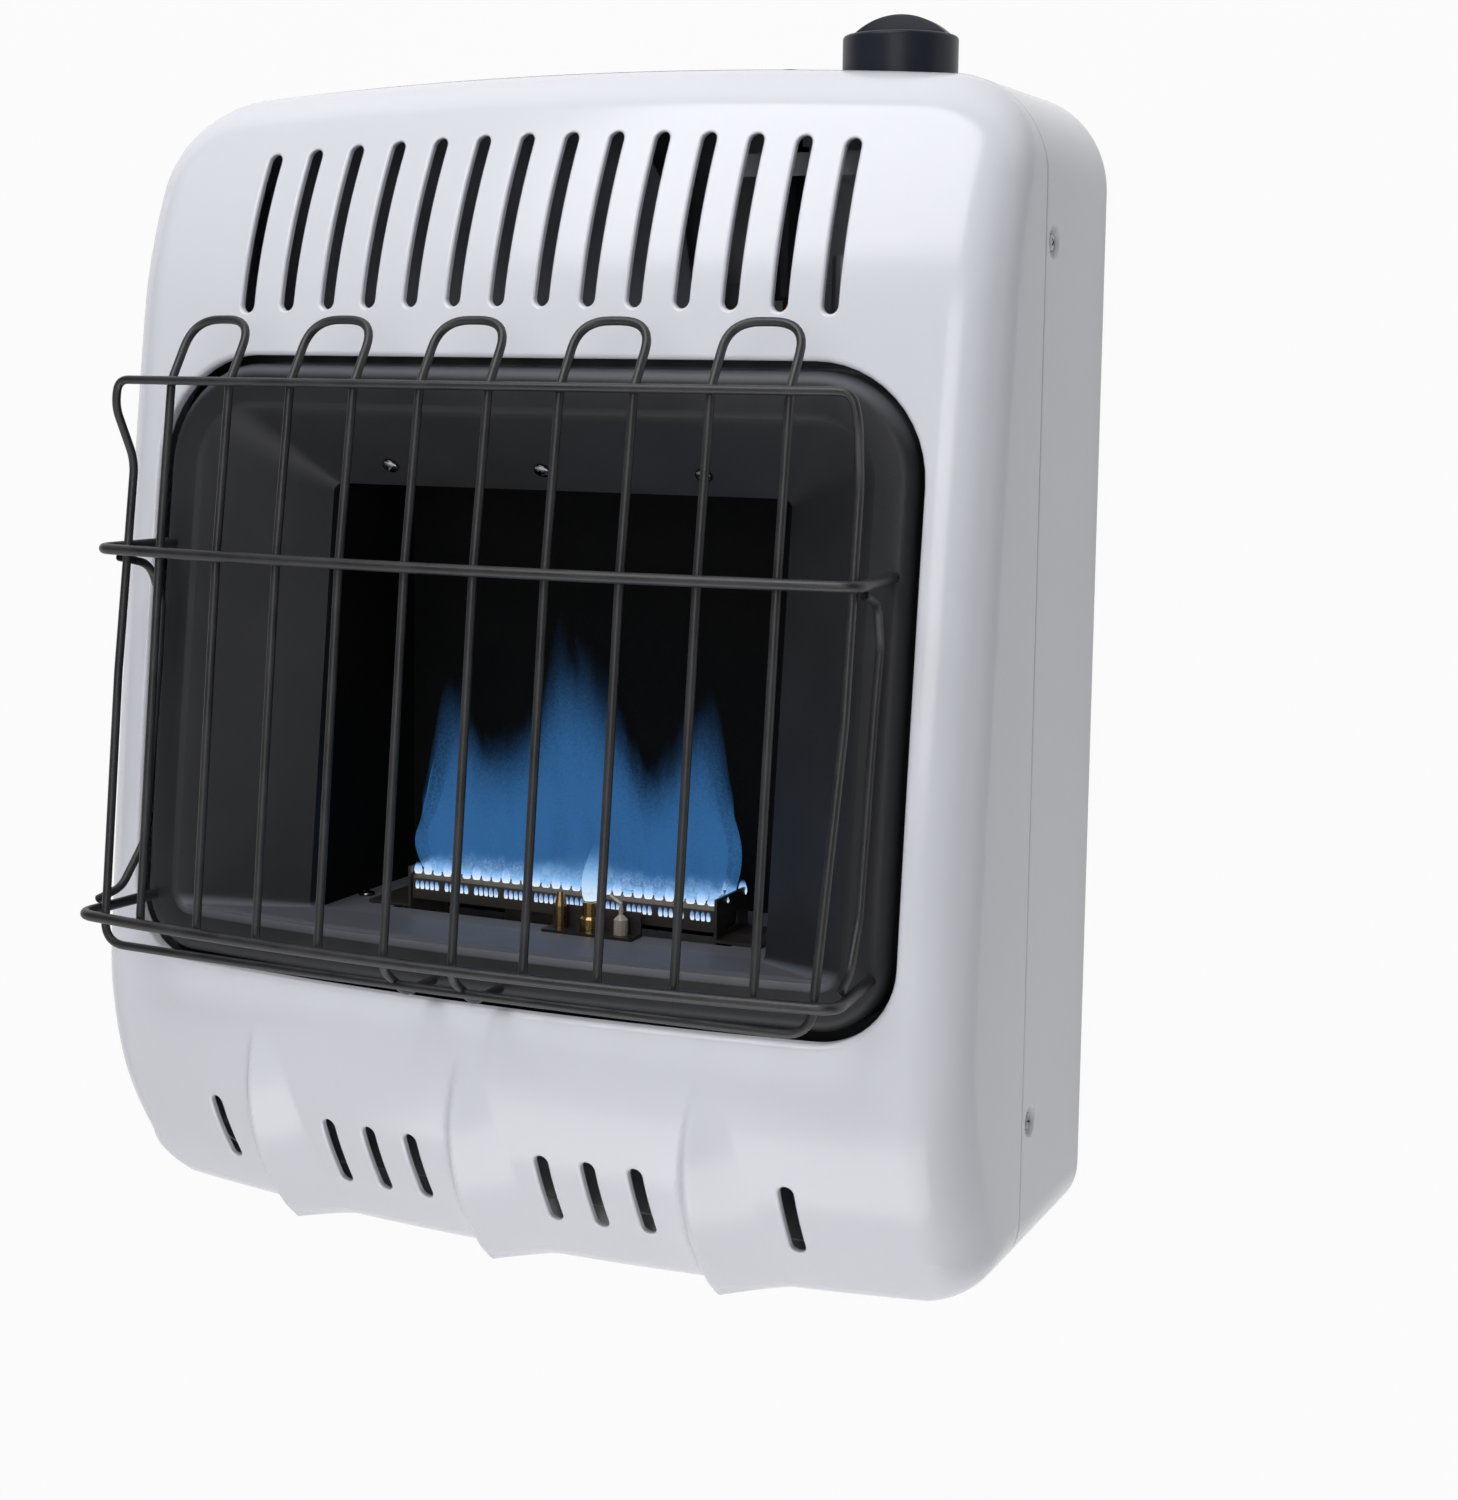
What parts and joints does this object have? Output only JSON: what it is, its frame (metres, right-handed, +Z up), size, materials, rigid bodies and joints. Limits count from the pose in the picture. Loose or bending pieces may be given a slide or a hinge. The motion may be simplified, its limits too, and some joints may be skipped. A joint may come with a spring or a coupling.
{
  "type": "wall mounted gas heater",
  "caption": "Wall mounted vent-free gas heater: arched white slotted cover over a deep casing, dark firebox with a blue-flame burner behind a wire guard, and a control knob on top.",
  "frame": {"origin": "on the wall plane, at the middle of the back panel's rear face", "axes": "+X to the right seen from the front, +Y into the wall, +Z up; the heater faces -Y"},
  "size_m": [0.3938, 0.2284, 0.508],
  "materials": {
    "white_enamel": "gloss",
    "galvanised_sheet": "spangled zinc",
    "charcoal_enamel": "satin",
    "black_heat_paint": "matt",
    "plated_steel": "bright zinc plate",
    "stainless_steel": "brushed",
    "brass": "turned",
    "aluminium": "die cast",
    "ceramic": "glazed",
    "black_plastic": "satin moulded",
    "lead_insulation": "satin",
    "black_wire": "semi-gloss"
  },
  "bodies": {
    "heater_body": {"front_cover": "white_enamel", "rear_casing": "white_enamel", "back_panel": "galvanised_sheet", "wall_bracket": "galvanised_sheet", "control_shelf": "galvanised_sheet", "firebox_bezel": "charcoal_enamel", "heat_deflector": "charcoal_enamel", "floor_tray": "charcoal_enamel", "combustion_box": "black_heat_paint", "bezel_screw_1": "plated_steel", "bezel_screw_2": "plated_steel", "bezel_screw_3": "plated_steel", "shelf_screw_1": "plated_steel", "shelf_screw_2": "plated_steel", "valve_nut": "plated_steel", "igniter_nut": "plated_steel", "side_screw_left_1": "plated_steel", "side_screw_left_2": "plated_steel", "side_screw_right_1": "plated_steel", "side_screw_right_2": "plated_steel", "tray_screw_left": "plated_steel", "tray_screw_right": "plated_steel", "burner": "stainless_steel", "burner_bracket_left": "stainless_steel", "burner_bracket_right": "stainless_steel", "pilot_bracket": "stainless_steel", "igniter_spring": "stainless_steel", "gas_injector": "brass", "pilot_burner": "brass", "thermocouple": "brass", "inlet_fitting": "brass", "gas_valve": "aluminium", "gas_regulator": "aluminium", "supply_tube": "aluminium", "burner_tube": "aluminium", "pilot_tube": "aluminium", "spark_electrode": "ceramic", "igniter_body": "black_plastic", "ignition_lead": "lead_insulation", "guard_rim": "black_wire", "guard_middle_rod": "black_wire", "guard_lower_rod": "black_wire", "guard_hairpin_1": "black_wire", "guard_hairpin_2": "black_wire", "guard_hairpin_3": "black_wire", "guard_hairpin_4": "black_wire", "guard_hairpin_5": "black_wire", "guard_side_wire_left": "black_wire", "guard_side_wire_right": "black_wire"},
    "turning_collar": {"stem_collar": "brass", "knob_spring": "stainless_steel"},
    "knob": {"control_knob": "black_plastic", "valve_stem": "stainless_steel"},
    "ignition_button": {"igniter_button": "black_plastic"}
  },
  "joints": [
    {"name": "knob_turn", "type": "hinge", "parent": "heater_body", "child": "turning_collar", "pos_m": [0.1265, -0.058, 0.2105], "axis": [0, 0, 1], "range_deg": [-180, 0]},
    {"name": "knob_press", "type": "slide", "parent": "turning_collar", "child": "knob", "axis": [0, 0, -1], "range_m": [0, 0.004], "stiffness_N_per_m": 500, "springref_m": -0.006, "deforming": ["knob_spring"]},
    {"name": "igniter_press", "type": "slide", "parent": "heater_body", "child": "ignition_button", "axis": [0, 0, -1], "range_m": [0, 0.0035], "stiffness_N_per_m": 900, "springref_m": -0.006, "deforming": ["igniter_spring"]}
  ]
}
